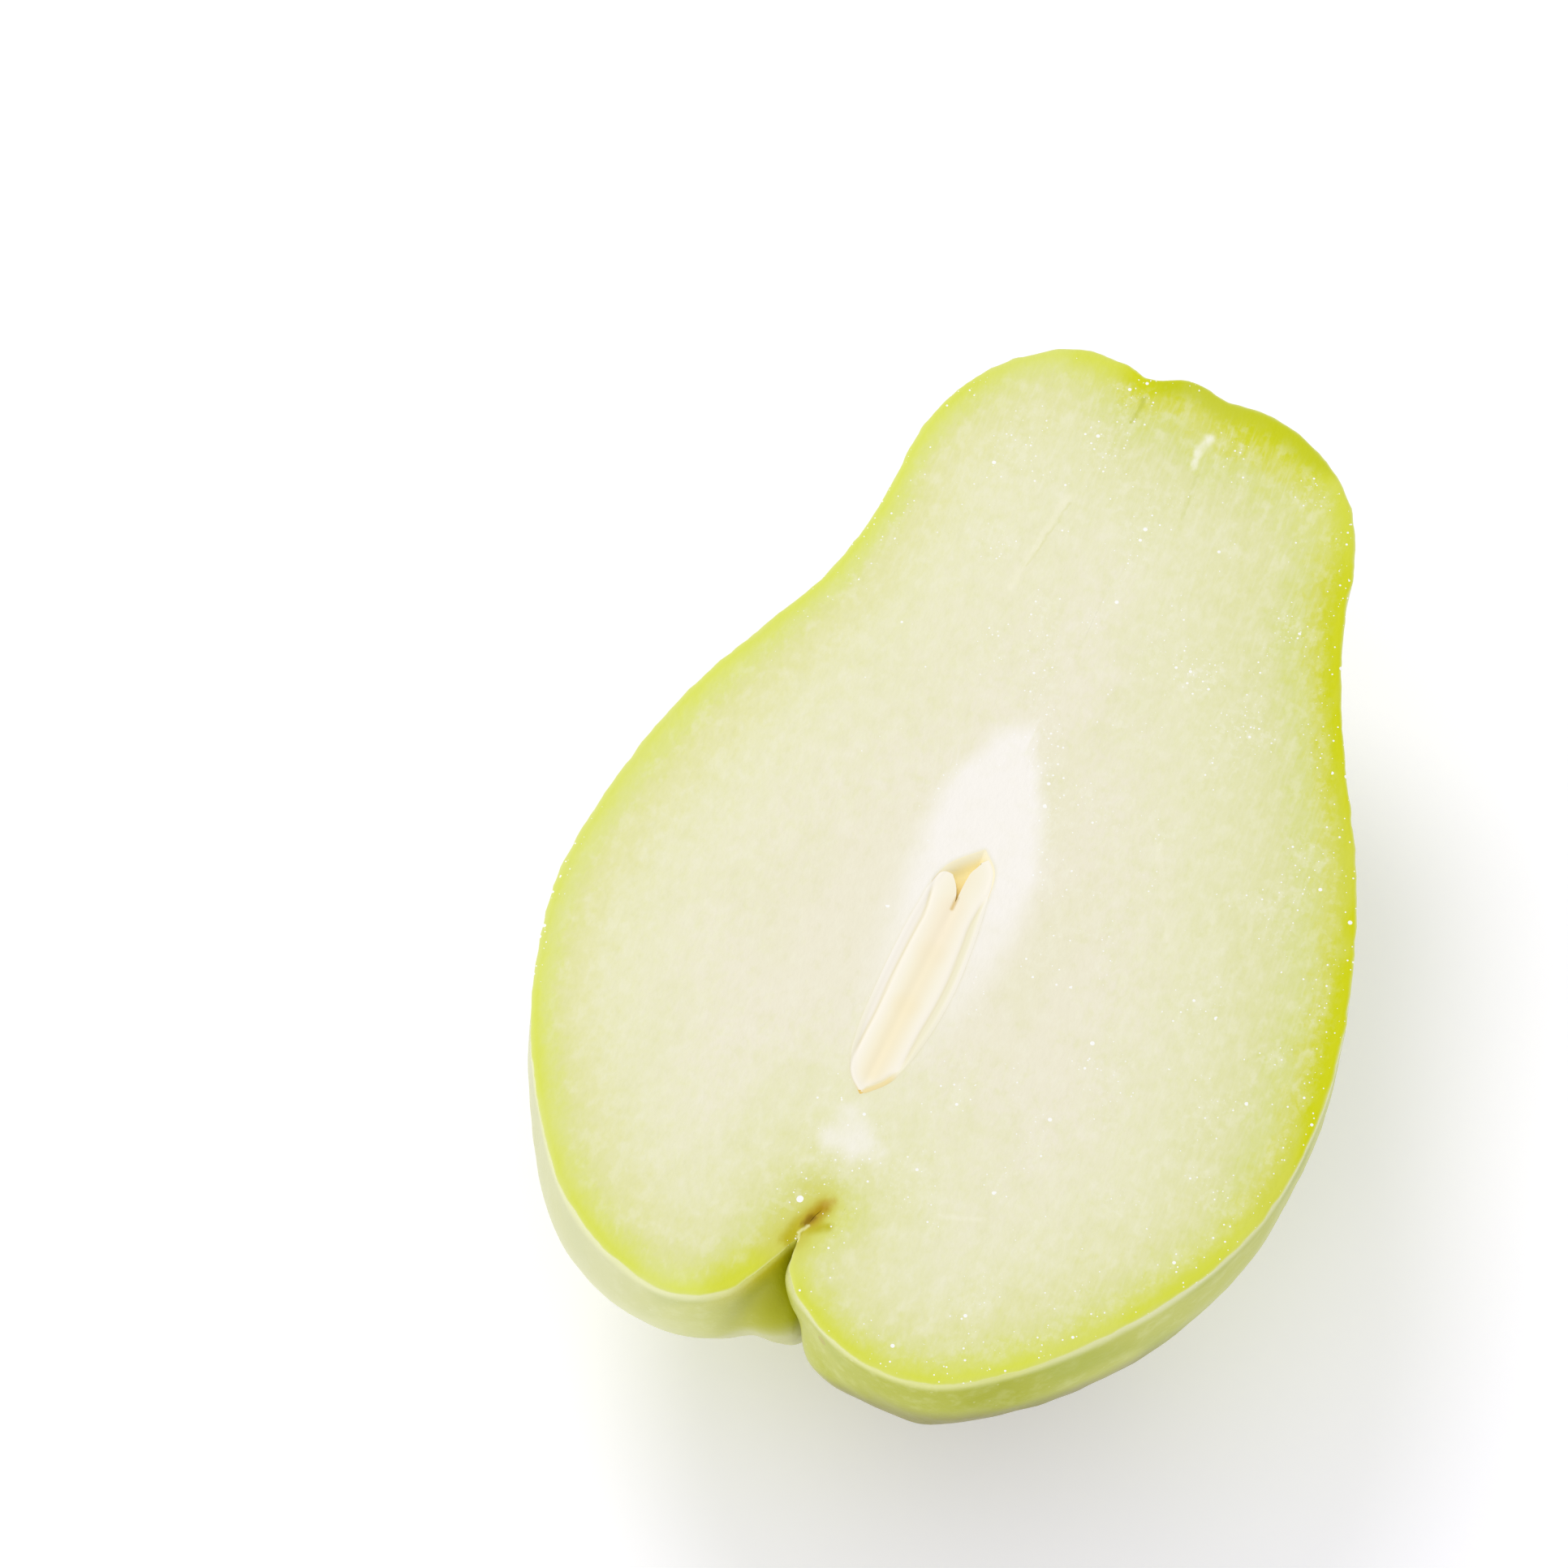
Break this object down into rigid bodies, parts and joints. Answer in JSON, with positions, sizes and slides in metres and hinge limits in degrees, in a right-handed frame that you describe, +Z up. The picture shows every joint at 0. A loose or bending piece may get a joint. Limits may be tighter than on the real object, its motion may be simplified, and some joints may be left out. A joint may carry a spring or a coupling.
{
  "type": "chayote squash",
  "caption": "Half of a pear-shaped green chayote squash, cut lengthwise and lying on its back, with the halved pale seed in the hollow of its flat cut face.",
  "frame": {"origin": "middle of the small flat spot on the back that the half rests on, under its centre of mass", "axes": "+Y along the fruit from its mouth to its stem end, +Z up, out of the cut face"},
  "size_m": [0.0899, 0.1334, 0.042],
  "materials": {
    "fruit": "moist cream to pale green flesh with a yellow-green band under satin pale green skin",
    "seed": "smooth cream"
  },
  "bodies": {
    "root": {"fruit_half": "fruit", "seed_half": "seed"}
  },
  "joints": []
}
